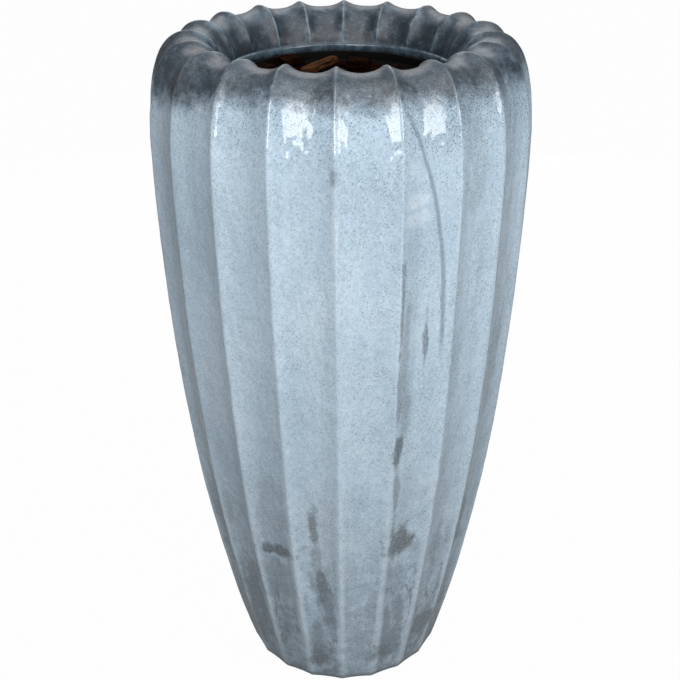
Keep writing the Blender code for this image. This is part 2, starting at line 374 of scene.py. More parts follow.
def makeShell():
    s = shell
    outline, rows = shellOutline()
    count = s["flutes"]
    piece = turnOutline("pot_glazed", outline, count * s["columns"], closed=True)
    mesh = piece.data
    uneven = random.Random(s["seed"])
    depthOf = [uneven.uniform(*s["depthSpread"]) for _ in range(count)]
    turnOf = [uneven.uniform(-1, 1) * s["wander"] for _ in range(count)]
    for number, lean in s["leaning"].items():
        turnOf[number] += math.radians(lean)
    row = [item.value for item in mesh.attributes["row"].data]
    normals = [vertex.normal.copy() for vertex in mesh.vertices]
    ridge, rolled, bare = [], [], []
    nudge = 1e-6  # keeps a vertex on an arris in its own flute

    def arrisTurn(number, height):  # each arris wanders a little on its way up
        number %= count
        swayed = noise.noise((number * s["swayApart"], height * s["swayScale"], 0.5))
        return turnOf[number] + s["sway"] * s["wander"] * swayed

    for vertex in mesh.vertices:
        i = vertex.index
        x, y, z = vertex.co
        radius = math.hypot(x, y)
        turns = (math.atan2(x, -y) / math.tau * count + nudge) % count
        flute = int(turns)
        across = turns - flute
        gathered = 0.5 - 0.5 * math.cos(math.pi * across)
        across += (gathered - across) * s["gather"]
        lean = arrisTurn(flute, z) * (1 - across) + arrisTurn(flute + 1, z) * across
        lean *= smoothStep(rows["fluteEnd"] - row[i], 0, s["leanRows"])
        angle = (flute + across) / count * math.tau + lean
        hollow, fromRidge = hollowAt(across, math.tau * radius / count, z)
        normal = Matrix.Rotation(angle - turns / count * math.tau, 3, "Z") @ normals[i]
        pressed = fluteDepth(row[i], z, rows) * depthOf[flute] * hollow
        spot = Vector((radius * math.sin(angle), -radius * math.cos(angle), z)) - normal * pressed
        glazed = row[i] < rows["fluteEnd"]
        if glazed:
            wobble, lump, ripple = (noise.noise(spot * scale) for scale in s["unevenScales"])
            out = (wobble + s["lumpShare"] * lump) * s["wobble"] + ripple * s["ripple"]
            spot += normal * out * min(z / s["stillFoot"], 1)
        vertex.co = spot
        ridge.append(fromRidge if glazed else s["offRidge"])  # metres from the nearest arris
        roll = (row[i] - rows["crest"]) / (rows["fluteEnd"] - rows["crest"])
        onLip = smoothStep(row[i], rows["fluteEnd"], rows["groove"])
        rolled.append(min(max(roll, 0), 1) + onLip)  # 0 at the crest, 1 at the flute's end, 2 on the lip
        bare.append(smoothStep(row[i], *(rows["lip"] + step for step in s["bareRows"])))  # 1 without glaze
    for name, values in (("ridge", ridge), ("rolled", rolled), ("bare", bare)):
        mesh.attributes.new(name, "FLOAT", "POINT").data.foreach_set("value", values)
    print("shell:", len(mesh.polygons), "faces")
    return settle(piece, "pot", "glazed_stoneware", "pot_shell")


# glaze

glazeTones = {
    "pale": (0.525, 0.660, 0.775, 1), "milky": (0.625, 0.745, 0.840, 1), "grey": (0.370, 0.485, 0.585, 1),
    "pooledAndShade": (0.185, 0.255, 0.320, 1), "arris": (0.66, 0.75, 0.82, 1), "runGrey": (0.20, 0.26, 0.315, 1),
    "speck": (0.055, 0.078, 0.100, 1), "slate": (0.023, 0.036, 0.050, 1),
    "slateLight": (0.104, 0.152, 0.198, 1), "brown": (0.057, 0.060, 0.066, 1),
    "frost": (0.215, 0.295, 0.365, 1), "rollDark": (0.004, 0.011, 0.022, 1),
    "lipDark": (0.009, 0.014, 0.021, 1), "smudgeAndShade": (0.112, 0.140, 0.162, 1),
    "smudgeWarm": (0.118, 0.120, 0.122, 1), "clay": (0.30, 0.235, 0.18, 1),
}

glaze = {
    # scale, detail, roughness and upright stretch of the clouds, in space and on the wall without its taper
    "clouds": {
        "grain": (470, 3, 0.75), "blotch": (240, 2, 0.6), "sootAndShadeFine": (46, 4, 0.65), "breaks": (24, 3),
        "veil": (40, 4, 0.65), "waver": (40, 2, 0.5, 0.3), "rimWaves": (26, 3, 0.55, 0.3),
        "rimTeeth": (110, 3, 0.6), "rimGrain": (420, 3, 0.7), "rimCloud": (24, 6, 0.72), "warmth": (18, 3),
        "mottle": (95, 5, 0.75), "frosting": (34, 5, 0.7), "fleck": (520, 3, 0.7), "rimBreaks": (40, 3),
        "crowding": (13, 4, 0.65), "scatter": (21, 5, 0.62, 0.5), "footDirt": (85, 3), "wash": (9, 2),
        "veinGaps": (14, 2), "smudging": (60, 3), "clayDust": (90, 4, 0.6), "lumps": (62, 1, 0.4, 0.7),
    },
    "skinRadius": 0.2,
    "skinClouds": {
        "streak": (60, 3, 0.55, 0.06), "drift": (13, 4, 0.6, 0.5), "sootAndShadeLong": (30, 6, 0.7, 0.16),
        "vein": (36, 3, 0.55, 0.22),
    },
    # line where one coat ran over another: heights and turns of its ends, radius of the wall, waver
    "run": {"top": 0.866, "bottom": 0.540, "topTurn": 18.9, "bottomTurn": 32.6,
            "radius": 0.225, "waver": 0.004},
    # a band is the name of a place or cloud, where it starts and is full, its strength and its least
    # painted shade: the flute hollows low on the wall are darkened in patches, more at the foot and on the
    # left side
    "shade": [[("sootAndShade", 0.40, 0.60, 0.35)], [("height", 0.24, 0.0, 0.22)],
              [("turn", -11.5, -63, 0.22, 0.02)]],
    # layers of the pale body over grey, each a tone and the bands that it keeps to, ending with the run
    "body": (
        ("pale", ("streak", 0.30, 0.70, 0.5, 0.5)),
        ("milky", ("drift", 0.44, 0.72, 0.60)),
        ("grey", ("drift", 0.48, 0.30, 0.50)),
        ("grey", ("grain", 0.50, 0.34, 0.75)),
        ("milky", ("grain", 0.54, 0.70, 0.60)),
        ("milky", ("blotch", 0.50, 0.68, 0.30)),
        ("grey", ("blotch", 0.50, 0.34, 0.40)),
        # painted shade in the flute hollows
        ("pooledAndShade", ("ridge", 0.002, 0.011), ("height", 0.50, 0.10), ("shade",)),
        # lighter along the ridges low on the wall: partly milky glaze, partly painted light beside the
        # shaded hollows
        ("milky", ("ridge", 0.008, 0.001, 0.5), ("height", 0.60, 0.10)),
        # lighter arris lines, strongest high on the wall: partly glaze running thin over the edge, partly a
        # painted highlight
        ("arris", ("ridge", 0.0018, 0.0003, 0.45), ("breaks", 0.35, 0.65), ("height", 0.25, 0.75)),
        ("pooledAndShade", ("height", 0.790, 0.866), ("turn", 8, 30, 0.24, 0.18), ("veil", 0.30, 0.65, 0.7, 0.6)),
        ("pooledAndShade", ("besideRun", 0.0, -0.006, 0.20), ("turn", 17.6, 20.6), ("turn", 26, 22),
         ("height", 0.40, 0.56), ("height", 0.866, 0.70)),
        ("runGrey", ("fromRun", 0.0040, 0.0006, 0.7), ("height", 0.540, 0.600), ("height", 0.866, 0.854)),
        ("arris", ("thick",)),  # listed places
    ),
    # thick white places: turn in degrees, height, half width in degrees, half height, strength
    "thickPlaces": (
        (22.8, 0.764, 4.6, 0.012, 0.5), (23.6, 0.742, 4.6, 0.010, 0.5), (21.5, 0.800, 3.0, 0.012, 0.3),
        (0.2, 0.840, 1.3, 0.030, 0.5), (-0.4, 0.735, 1.2, 0.055, 0.6), (-6, 0.310, 17.0, 0.095, 0.28)),
    "thickScale": 44, "thickness": 0.9,
    # the rim's lower edge hangs lower at the sides, and clouds make it ragged by so many metres
    "rimDrop": [[("turn", -20, -65, 0.026)], [("turn", 30, 75, 0.008)]],
    "rimEdge": {"rimWaves": 0.022, "rimTeeth": 0.028, "rimGrain": 0.020},
    "rimTint": [[("rimLevel", 0.849, 0.883)], [("rolled", 0.0, 0.05)]],
    "rimMatt": [[("rimLevel", 0.859, 0.877)], [("rolled", 0.0, 0.05)]],
    # dark down the roll, and painted shade near the crest top, darkening the top that faces the overhead
    # lamp
    "rollDarkAndCrestShade": [[("rolled", 0.05, 0.5, 0.80)], [("height", 0.884, 0.8985, 0.5)]],
    "frost": [[("ridge", 0.009, 0.0005, 0.55), ("rolled", 0.0, 0.05), ("frosting", 0.44, 0.60)],
              [("pools",), ("rolled", 0.2, 0.5, 0.55)]],
    # layers of the rim over slate: brown on the outer shoulder, dark down the roll with painted shade on the
    # crest top, light on the lip
    "rim": (
        ("slateLight", ("rimCloud", 0.36, 0.66)),
        ("brown", ("warmth", 0.30, 0.60, 0.65), ("height", 0.8985, 0.888), ("rolled", 0.06, 0.0)),
        ("rollDark", ("rollDarkAndCrestShade",)),
        ("slateLight", ("mottle", 0.50, 0.64, 0.40)),
        ("lipDark", ("mottle", 0.50, 0.38, 0.55)),
        ("frost", ("frost",)),
        ("slateLight", ("fleck", 0.52, 0.70, 0.45)),
        ("lipDark", ("fleck", 0.48, 0.34, 0.65)),
        ("lipDark", ("rolled", 0.40, 0.80), ("rolled", 1.10, 0.90), ("mottle", 0.62, 0.40, 0.5, 0.2)),
        ("slateLight", ("rolled", 1.00, 1.20), ("mottle", 0.38, 0.60, 0.5, 0.25)),
        # lighter arris lines on the rim: partly glaze running thin over the edge, partly a painted highlight
        ("grey", ("ridge", 0.0018, 0.0003, 0.26), ("rimBreaks", 0.4, 0.6)),
    ),
    # pale pools at the lower ends of the flutes inside the rim, written as the thick places are
    "poolPlaces": (
        (-80, 0.871, 7.0, 0.013, 0.9), (77, 0.871, 7.0, 0.013, 0.9), (-52, 0.866, 4.0, 0.008, 0.6)),
    "poolScale": 60,
    # dark specks and dust: scale of their cells, how far a dot reaches in its cell, which cells have a dot
    "dots": ((390, (0.50, 0.12), (0.62, 0.84)), (760, (0.60, 0.15), (0.42, 0.74, 0.7))),
    "crowdSpread": 1.3,
    "crowd": [[("height", 0.66, 0.86, 0.20)], [("height", 0.60, 0.15, 0.12)],
              [("turn", 20, 40), ("height", 0.79, 0.85, 0.22)]],
    "bold": [[("turn", -40, 35, 0.20, 0.40)], [("height", 0.78, 0.86, 0.25)]],
    "dotsEnd": [("rolled", 0.15, 0.0)],
    # thin places on the front, written as the thick places are; those at 43 and 62 degrees are painted shade
    # on flute sides turned from the light
    "thinAndShadedPlaces": (
        (-27, 0.256, 10.5, 0.016, 1.0), (-27, 0.320, 9.0, 0.080, 0.30), (-28, 0.200, 10.0, 0.060, 0.40),
        (-10, 0.310, 2.6, 0.040, 0.8), (-9.5, 0.245, 3.0, 0.050, 0.45), (-8.0, 0.200, 4.6, 0.040, 0.9),
        (-5.5, 0.150, 4.0, 0.060, 0.65), (-12, 0.100, 4.5, 0.045, 0.5), (-11, 0.052, 7.0, 0.036, 0.9),
        (23.8, 0.276, 8.0, 0.034, 1.0), (25, 0.205, 7.0, 0.045, 0.30), (28, 0.145, 5.0, 0.040, 0.6),
        (23, 0.055, 11.0, 0.030, 0.8), (46, 0.085, 11.0, 0.036, 0.8), (60, 0.250, 5.0, 0.075, 0.7),
        (-46, 0.150, 9.0, 0.080, 0.6), (-50, 0.075, 10.0, 0.055, 0.6), (19.6, 0.435, 2.6, 0.042, 1.0),
        (20.3, 0.370, 1.8, 0.070, 0.55), (18.8, 0.640, 1.1, 0.090, 0.7), (18.9, 0.510, 1.3, 0.080, 0.5),
        (27.5, 0.585, 1.2, 0.055, 0.8), (-0.6, 0.797, 1.6, 0.012, 0.5), (43, 0.800, 5.0, 0.110, 0.25),
        (62, 0.500, 7.0, 0.100, 0.30), (26, 0.370, 9.0, 0.060, 0.15), (40, 0.330, 7.0, 0.080, 0.20),
        (20.6, 0.575, 2.4, 0.100, 0.40), (21.2, 0.500, 3.0, 0.060, 0.35)),
    "thinScale": 52, "footShare": 0.25, "washShare": 0.5,
    "moreLow": [("height", 0.40, 0.02, 0.10)],
    # thin places scattered on the back, and a painted contact shadow darkening the lowest 18 mm of the wall
    "thinAndShaded": [[("scattered", 0.62, 0.76), ("back", -0.06, 0.05)], [("height", 0.018, 0.004, 0.85)]],
    # darker towards the foot and in the flute hollows low on the wall, in streaks: partly grime, partly
    # painted shade
    "grimeAndShade": [[("footSoot", 0.54, 0.76), ("height", 0.17, -0.02, 0.7)],
              [("washSoot", 0.74, 0.84, 0.5), ("height", 0.48, 0.10), ("ridge", 0.002, 0.010)],
              [("veinLine", 0.040, 0.004, 0.7), ("veinGaps", 0.42, 0.58), ("height", 0.32, 0.14),
               ("ridge", 0.002, 0.008)]],
    "clean": [("turn", 1, 4), ("turn", 17, 14, 0.8)],  # one front flute has little of this grime and painted shade
    "smudgeWarm": [("smudging", 0.4, 0.6)], "throughGrain": [("grain", 0.64, 0.40, 0.35, 0.60)],
    # edges of the listed patches
    "patchCloud": (5, 0.65, 0.6), "ragged": 2.4, "patchFade": (1.0, 0.40),
    "rough": 0.065, "mattRough": 0.38, "thinRough": 0.25, "bareRough": 0.60,
    "lipGloss": [("rolled", 0.95, 1.2, 0.22)],
    "specular": 0.65, "fleckLump": 0.08, "mottleLump": 0.12, "bumpStrength": 0.9, "bumpDepth": 0.0018,
}


def readShell(place):  # the places and clouds that the glaze goes by
    x, y, height = (place.node("ShaderNodeSeparateXYZ", None, {0: place}, axis) for axis in "XYZ")
    wide = (x * x + y * y).root() / glaze["skinRadius"]
    skin = place.node("ShaderNodeCombineXYZ", None, {0: x / wide, 1: y / wide, 2: height})
    at = {"place": place, "back": y, "height": height, "turn": x.math("ARCTAN2", x, y * -1).degrees()}
    at.update({name: place.stored(name) for name in ("ridge", "rolled", "bare")})
    at.update({name: place.cloud(*values) for name, values in glaze["clouds"].items()})
    at.update({name: skin.cloud(*values) for name, values in glaze["skinClouds"].items()})
    at["sootAndShade"] = (at["sootAndShadeLong"] + at["sootAndShadeFine"]) / 2
    return at


def where(at, bands):  # all of the bands at once, and a name alone is the place itself
    return reduce(mul, [at[name].band(*limits) if limits else at[name] for name, *limits in bands])


def gather(at, groups, join):
    return reduce(join, [where(at, bands) for bands in groups])


def paint(at, colour, layers):
    for tone, *bands in layers:
        colour = where(at, bands).pick(colour, glazeTones[tone])
    return colour


def patches(at, places, scale):  # listed patches with ragged edges
    ragged = (at["place"].cloud(scale, *glaze["patchCloud"]) - 0.5) * glaze["ragged"]
    found = []
    for middle, level, halfTurn, halfHeight, strength in places:
        sideways = (at["turn"] - middle) / halfTurn
        upward = (at["height"] - level) / halfHeight
        reach = (sideways * sideways + upward * upward).root()
        found.append((reach + ragged).band(*glaze["patchFade"], strength))
    return reduce(Wire.most, found)


def bodyTone(at):  # streaked and clouded, with painted shade in the flute hollows and the run on a front flute
    run = glaze["run"]
    climb = (at["height"] - run["bottom"]) / (run["top"] - run["bottom"])
    line = run["bottomTurn"] - climb * climb * climb * (run["bottomTurn"] - run["topTurn"])
    waver = (at["waver"] - 0.5) * run["waver"]
    at["besideRun"] = (at["turn"] - line) * (math.radians(1) * run["radius"]) + waver  # metres
    at["fromRun"] = at["besideRun"].size()
    at["shade"] = gather(at, glaze["shade"], add)
    at["thick"] = patches(at, glaze["thickPlaces"], glaze["thickScale"]) * glaze["thickness"]
    return paint(at, glazeTones["grey"], glaze["body"])


def rimMasks(at):  # where the rim is slate, and where it is matt
    level = at["height"] + gather(at, glaze["rimDrop"], add)
    for name, reach in glaze["rimEdge"].items():
        level = level + (at[name] - 0.5) * reach
    at["rimLevel"] = level
    return gather(at, glaze["rimTint"], Wire.most), gather(at, glaze["rimMatt"], Wire.most)


def rimTone(at):
    at["pools"] = patches(at, glaze["poolPlaces"], glaze["poolScale"])
    at["rollDarkAndCrestShade"] = gather(at, glaze["rollDarkAndCrestShade"], Wire.most)
    at["frost"] = gather(at, glaze["frost"], Wire.most)
    return paint(at, glazeTones["slate"], glaze["rim"])


def speckMask(at):  # dark specks, crowded under the rim
    crowd = gather(at, glaze["crowd"], add) + (at["crowding"] - 0.5) * glaze["crowdSpread"]
    found = []
    for scale, reach, share in glaze["dots"]:
        chance = at["place"].cells(scale, "Color") + crowd
        found.append(at["place"].cells(scale).band(*reach) * chance.band(*share))
    return reduce(Wire.most, found) * gather(at, glaze["bold"], add) * where(at, glaze["dotsEnd"])


def thinAndShadeMask(at):  # thin places and painted shade patches listed on the front, thin places scattered on the back, darkening near the foot that is partly grime and partly painted shade, and a painted contact shadow at the foot's edge
    at["scattered"] = at["scatter"] + where(at, glaze["moreLow"])
    at["footSoot"] = at["sootAndShade"] + at["footDirt"] * glaze["footShare"]
    at["washSoot"] = at["sootAndShade"] + at["wash"] * glaze["washShare"]
    at["veinLine"] = (at["vein"] - 0.5).size()
    grimeAndShade = gather(at, glaze["grimeAndShade"], Wire.most) * (1 - where(at, glaze["clean"]))
    byHand = patches(at, glaze["thinAndShadedPlaces"], glaze["thinScale"])
    return byHand.most(grimeAndShade).most(gather(at, glaze["thinAndShaded"], Wire.most))


def glazeFinish():
    g, tones = glaze, glazeTones
    finish, shader, place = startFinish("speckled_glaze", g["specular"])
    at = readShell(place)
    rim, matt = rimMasks(at)
    thinAndShaded = thinAndShadeMask(at) * (1 - rim)
    bare = at["bare"]
    colour = rim.pick(bodyTone(at), rimTone(at))
    colour = speckMask(at).pick(colour, rim.pick(tones["speck"], tones["rollDark"]))
    smudgeAndShade = where(at, g["smudgeWarm"]).pick(tones["smudgeAndShade"], tones["smudgeWarm"])
    colour = (thinAndShaded * where(at, g["throughGrain"])).pick(colour, smudgeAndShade)
    clay = at["clayDust"].pick(tones["clay"], tones["smudgeWarm"])
    bare.pick(colour, clay).feed(shader, "Base Color")
    rough = matt * g["mattRough"] + thinAndShaded * g["thinRough"] + bare * g["bareRough"] + g["rough"]
    (rough - where(at, g["lipGloss"])).feed(shader, "Roughness")
    lumps = at["lumps"] + (at["fleck"] * g["fleckLump"] + at["mottle"] * g["mottleLump"]) * rim
    lumps.dent(shader, g["bumpStrength"], g["bumpDepth"])
    return finish


wear(makeShell(), glazeFinish())
print("glaze made")


# plastic pots inside

plasticPot = {
    "wall": 0.002, "collar": 0.014, "step": 0.004, "corner": 0.003, "round": 0.0010, "roundMid": 0.3,
    "ring": 0.0012, "ringsAt": (0.695, 0.345),
    "ringShape": ((0.025, 0), (0.005, 1), (-0.005, 1), (-0.025, 0)),  # step up the wall, share of the ring
    "drains": 6, "drainRadius": 0.007, "drainRing": 0.6, "drainSides": 32, "drillLength": 0.020,
    "brimPieces": 6, "steps": 120, "smoothAngle": 32,
}


def plasticOutline(rimRadius, baseRadius, height):  # from the floor over the rim to the underside
    p = plasticPot
    wall, r, corner = p["wall"], p["round"], p["corner"]
    body = rimRadius - p["step"]
    collar = height - p["collar"]
    innerBase = baseRadius - wall
    innerRim = rimRadius - wall
    inside = [(0.0, wall), (innerBase - corner, wall), (innerBase, wall + corner),
              (body - wall, collar), (innerRim, collar + p["step"]), (innerRim, height - r)]
    brim = bend((innerRim, height - r), (innerRim, height), (rimRadius, height), (rimRadius, height - r),
                p["brimPieces"])
    mid = r * p["roundMid"]
    outside = [(rimRadius, collar + r), (rimRadius - mid, collar + mid), (rimRadius - r, collar),
               (body + r, collar), (body, collar - r)]
    for ringAt in p["ringsAt"]:  # two moulded rings round the wall
        for offset, share in p["ringShape"]:
            part = ringAt + offset
            outside.append((baseRadius + (body - baseRadius) * part + p["ring"] * share, collar * part))
    underside = [(baseRadius, corner), (baseRadius - r, r), (baseRadius - corner, 0.0), (0.0, 0.0)]
    return inside + brim[1:] + outside + underside


def drillDrains(piece, ringRadius, level):
    p = plasticPot
    fresh()
    for number in range(p["drains"]):
        angle = math.tau * number / p["drains"]
        spot = (ringRadius * math.cos(angle), ringRadius * math.sin(angle), level)
        bpy.ops.mesh.primitive_cylinder_add(vertices=p["drainSides"], radius=p["drainRadius"],
                                            depth=p["drillLength"], location=spot)
        drill = bpy.context.object
        take(piece)
        cut = piece.modifiers.new("drain", "BOOLEAN")
        cut.object = drill
        bpy.ops.object.modifier_apply(modifier=cut.name)
        bpy.data.objects.remove(drill)


def makePlasticPot(name, node, body, slotName, upturned):
    low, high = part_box(node)
    rimRadius = high.x
    height = high.z - low.z
    baseLevel = high.z if upturned else low.z
    onBase = [point for point in cadPoints(node) if abs(point.z - baseLevel) < cadGap]
    baseRadius = max(radiusOf(point) for point in onBase) + plasticPot["wall"]
    outline = plasticOutline(rimRadius, baseRadius, height)
    outline = [(r, baseLevel - z if upturned else baseLevel + z) for r, z in outline]
    piece = turnOutline(name, outline, plasticPot["steps"])
    drillDrains(piece, baseRadius * plasticPot["drainRing"], baseLevel)
    take(piece)
    bpy.ops.object.shade_smooth_by_angle(angle=math.radians(plasticPot["smoothAngle"]))
    return settle(piece, body, slotName, node)


plasticLook = {
    "black": {"dark": (0.0065, 0.0065, 0.0075, 1), "light": (0.022, 0.022, 0.024, 1),
              "rough": 0.34, "shadeInside": 0.95},
    "grey": {"dark": (0.030, 0.030, 0.033, 1), "light": (0.075, 0.073, 0.072, 1),
             "rough": 0.5, "shadeInside": 0.0},
    "scuff": (60, 4, 0.6, 0.2), "scuffed": (0.52, 0.74), "scuffTone": 0.5, "scuffRough": 0.2,
    "dust": (220, 3, 0.6), "dusty": (0.5, 0.8), "dustTone": 0.25, "dustRough": 0.1,
    "insideRows": (8, 5), "shadeTone": (0.0012, 0.0008, 0.0006, 1), "shadeRough": 0.5,
    "specular": 0.10, "pits": (900, 2), "bumpStrength": 0.3, "bumpDepth": 0.0004,
}


def plasticFinish(name, kind):
    g = plasticLook
    look = g[kind]
    finish, shader, place = startFinish(name, g["specular"])
    scuff = place.cloud(*g["scuff"]).band(*g["scuffed"])
    dust = place.cloud(*g["dust"]).band(*g["dusty"])
    shadedInside = place.stored("row").band(*g["insideRows"]) * look["shadeInside"]  # painted shade: the inside is darkened nearly to black
    tone = (scuff * g["scuffTone"] + dust * g["dustTone"]).pick(look["dark"], look["light"])
    shadedInside.pick(tone, g["shadeTone"]).feed(shader, "Base Color")
    rough = scuff * g["scuffRough"] + dust * g["dustRough"] + shadedInside * g["shadeRough"] + look["rough"]
    rough.feed(shader, "Roughness")
    place.cloud(*g["pits"]).dent(shader, g["bumpStrength"], g["bumpDepth"])
    return finish


growPot = makePlasticPot("grow_pot_black", "grow_pot", "inner_pot", "black_plastic", False)
wear(growPot, plasticFinish("black_plastic_moulded", "black"))
riserPot = makePlasticPot("riser_pot_grey", "riser_pot", "pot", "grey_plastic", True)
wear(riserPot, plasticFinish("grey_plastic_moulded", "grey"))
print("plastic pots made")


# rubber bung in the drain hole

bung = {
    "edge": 0.0012, "edgeMid": 0.3, "edgePieces": 4, "tip": 0.0015, "tipSlope": 0.7, "taper": 0.004,
    "stemFrom": 0.001, "dimple": 0.010, "dimpleDepth": 0.0015, "steps": 96, "smoothAngle": 40,
    "dark": (0.022, 0.022, 0.023, 1), "light": (0.07, 0.068, 0.065, 1),
    "chalk": (140, 4, 0.6), "chalky": (0.45, 0.75), "chalkTone": 0.6, "chalkRough": 0.2, "rough": 0.62,
    "pits": (700, 3), "bumpStrength": 0.3, "bumpDepth": 0.0004,
}


def makeBung():
    low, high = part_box("drain_plug")
    points = cadPoints("drain_plug")
    headTop = max(p.z for p in points if radiusOf(p) > high.x - cadGap)
    stem = max(radiusOf(p) for p in points if p.z > headTop + bung["stemFrom"])
    e, pieces = bung["edge"], bung["edgePieces"]
    mid = e * bung["edgeMid"]
    head = high.x
    tip = stem - bung["tip"]
    dimple = bung["dimple"]
    dimpleTop = low.z + bung["dimpleDepth"]
    outline = [(0.0, high.z)]
    outline += bend((tip - e, high.z), (tip, high.z), (tip, high.z),
                    (stem - bung["tip"] * bung["tipSlope"], high.z - e), pieces)
    outline += [(stem, high.z - bung["taper"]), (stem, headTop + mid), (stem + mid, headTop)]
    for start, corner, end in (((head - e, headTop), (head, headTop), (head, headTop - e)),
                               ((head, low.z + e), (head, low.z), (head - e, low.z))):
        outline += bend(start, corner, corner, end, pieces)
    outline += bend((dimple, low.z), (dimple - e, low.z), (dimple - e, dimpleTop),
                    (dimple - 2 * e, dimpleTop), pieces)
    outline += [(0.0, dimpleTop)]
    piece = turnOutline("drain_bung", outline, bung["steps"])
    take(piece)
    bpy.ops.object.shade_smooth_by_angle(angle=math.radians(bung["smoothAngle"]))
    return settle(piece, "plug", "grey_rubber", "drain_plug")


def rubberFinish():
    finish, shader, place = startFinish("grey_rubber_worn")
    chalk = place.cloud(*bung["chalk"]).band(*bung["chalky"])
    (chalk * bung["chalkTone"]).pick(bung["dark"], bung["light"]).feed(shader, "Base Color")
    (chalk * bung["chalkRough"] + bung["rough"]).feed(shader, "Roughness")
    place.cloud(*bung["pits"]).dent(shader, bung["bumpStrength"], bung["bumpDepth"])
    return finish


wear(makeBung(), rubberFinish())
print("bung made")


# soil

soil = {
    "rings": 40, "steps": 96, "edgeDrop": 0.001, "topShare": 0.997, "topBand": 0.0005,
    "lump": 0.0035, "lumpScale": 160, "crumbScale": 420, "crumbShare": 0.6, "crumbLevel": 3,
    "dark": (0.0012, 0.0008, 0.0006, 1), "light": (0.0055, 0.0034, 0.0024, 1),
    "fibreTone": (0.016, 0.010, 0.006, 1),
    "crumb": (340, 4, 0.7), "crumbed": (0.35, 0.65), "crumbRough": 0.2, "rough": 0.8, "specular": 0.05,
    "fibreStretch": (1, 0.2, 1), "fibreTurn": (0, 0, 0.7), "fibre": (500, 2), "fibres": (0.66, 0.72, 0.7),
    "bumpStrength": 0.8, "bumpDepth": 0.0015,
}


def soilShape():  # radius and level at the floor and at the edge of the cad soil, and its top
    low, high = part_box("potting_soil")
    points = cadPoints("potting_soil")
    baseRadius = max(radiusOf(p) for p in points if p.z < low.z + cadGap)
    edge = min(p.z for p in points if radiusOf(p) > high.x - cadGap)
    return SimpleNamespace(floor=low.z, baseRadius=baseRadius, edge=edge, radius=high.x, top=high.z)


def moundLevel(bed, part):  # height of the mound at a part of its radius
    return bed.edge + (bed.top - bed.edge) * (1 - part ** 2)


def makeSoil():
    bed = soilShape()
    outline = [(0.0, bed.floor), (bed.baseRadius, bed.floor), (bed.radius, bed.edge - soil["edgeDrop"])]
    for ring in range(soil["rings"] + 1):
        part = 1 - ring / soil["rings"]
        outline.append((bed.radius * part * soil["topShare"], moundLevel(bed, part)))
    piece = turnOutline("soil_bed", outline, soil["steps"])
    for vertex in piece.data.vertices:
        x, y, z = vertex.co
        if z > bed.edge - soil["topBand"]:
            lumps = noise.noise(Vector((x, y, 0)) * soil["lumpScale"])
            crumbs = noise.noise(Vector((x, y, soil["crumbLevel"])) * soil["crumbScale"])
            vertex.co.z -= soil["lump"] * fromZero(lumps + soil["crumbShare"] * crumbs)
    return settle(piece, "inner_pot", "soil", "potting_soil")


def soilFinish():
    finish, shader, place = startFinish("damp_soil", soil["specular"])
    crumb = place.cloud(*soil["crumb"])
    tone = crumb.band(*soil["crumbed"]).pick(soil["dark"], soil["light"])
    fibre = place.stretch(soil["fibreStretch"], soil["fibreTurn"]).cloud(*soil["fibre"])
    fibre.band(*soil["fibres"]).pick(tone, soil["fibreTone"]).feed(shader, "Base Color")
    (crumb * soil["crumbRough"] + soil["rough"]).feed(shader, "Roughness")
    crumb.dent(shader, soil["bumpStrength"], soil["bumpDepth"])
    return finish


wear(makeSoil(), soilFinish())
print("soil made")


# bark bed and stick

bark = {
    "voxel": 0.0014, "smoothAngle": 50, "noiseApart": 13.7,  # noise scales go along, across and up the grain
    "furrow": 0.0019, "furrowScale": (26, 150, 170), "furrowEdge": 3.2,
    "flake": 0.0012, "flakeScale": (18, 18, 520), "fine": 0.0004, "fineScale": (90, 420, 420),
    "ragged": 0.0030, "raggedScale": (210, 260), "nibble": 0.30, "nibbleScale": 1.6, "nibbleLevel": 0.3,
    "taper": 0.45, "taperFrom": 0.35, "waist": 0.12, "waistScale": 60,
}


def copyRemeshed(name, node):  # a cad piece with even faces to wear down
    piece = addObject(name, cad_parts[node].data.copy())
    take(piece)
    openMesh()
    bpy.ops.mesh.remove_doubles(threshold=mergeGap)
    closeMesh()
    remesh = piece.modifiers.new("remesh", "REMESH")
    remesh.mode = "VOXEL"
    remesh.voxel_size = bark["voxel"]
    bpy.ops.object.modifier_apply(modifier=remesh.name)
    return piece


def grainNoise(spot, scale, shift):
    return noise.noise([value * size + move for value, size, move in zip(spot, scale, shift)])


